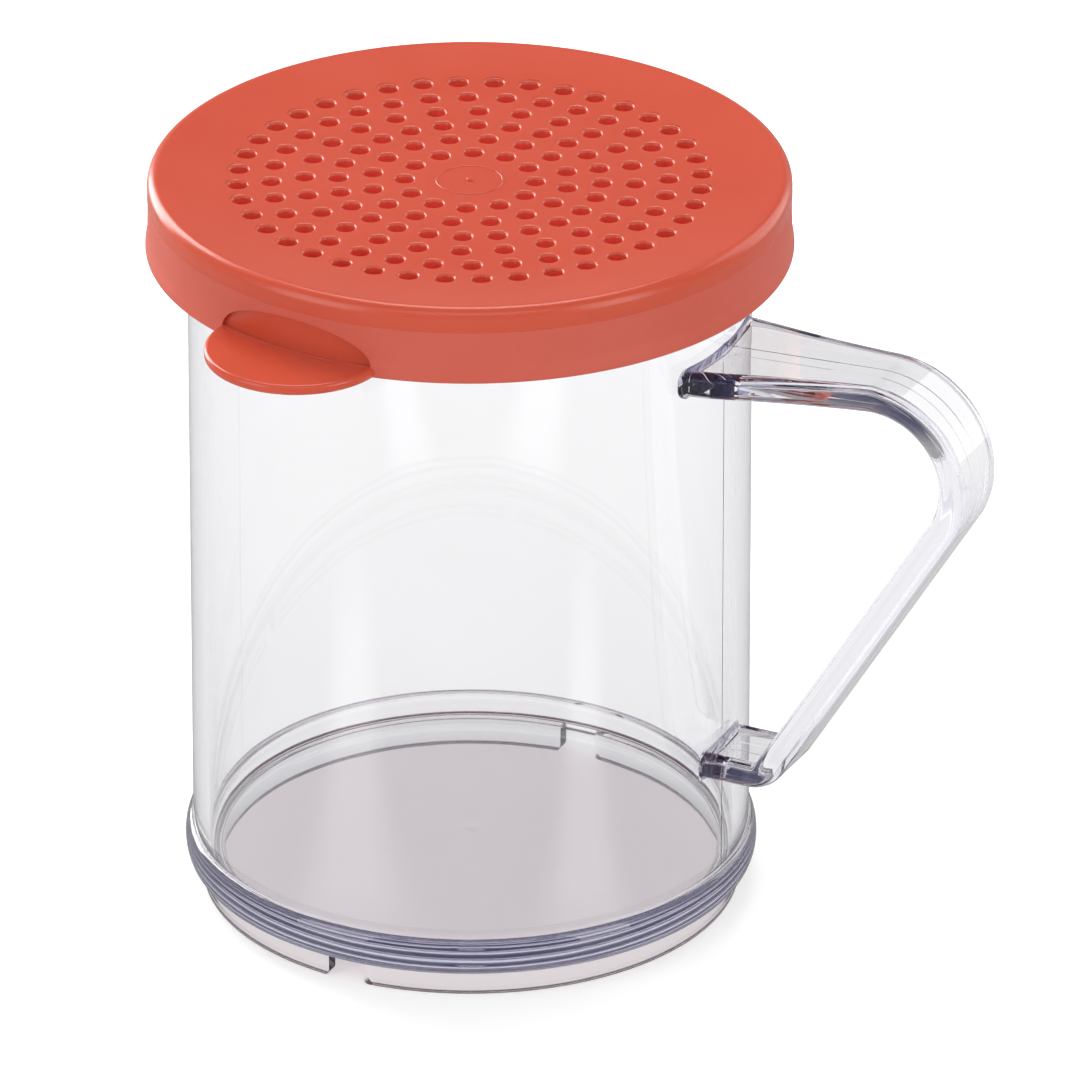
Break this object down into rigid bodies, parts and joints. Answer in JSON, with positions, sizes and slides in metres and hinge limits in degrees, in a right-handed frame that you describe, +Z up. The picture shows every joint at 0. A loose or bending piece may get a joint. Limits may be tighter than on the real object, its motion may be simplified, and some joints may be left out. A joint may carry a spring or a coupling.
{
  "type": "restaurant spice shaker dispenser",
  "caption": "Handled spice shaker: a clear straight-sided cup on a foot ring, with a strap handle and a red press-on lid with shaking holes and a thumb tab.",
  "frame": {"origin": "in the plane that the foot ring rests on, below the middle of the whole shaker with its handle and tab; the cup's axis stands at x = -15.18 mm, y = 4.74 mm", "axes": "+Z up along the cup's axis towards the lid, +X towards the handle; seen from above, the thumb tab points 97 degrees clockwise from the handle"},
  "size_m": [0.1128, 0.0918, 0.0995],
  "materials": {
    "clear_cup": "clear polished polycarbonate, faintly violet in long light paths",
    "red_lid": "coral red, satin plate and finely matt skirt"
  },
  "bodies": {
    "cup": {"cup": "clear_cup"},
    "lid": {"shaker_lid": "red_lid"}
  },
  "joints": [
    {"name": "lid_lift", "type": "slide", "parent": "cup", "child": "lid", "axis": [0, 0, 1], "range_m": [0, 0.04]}
  ]
}
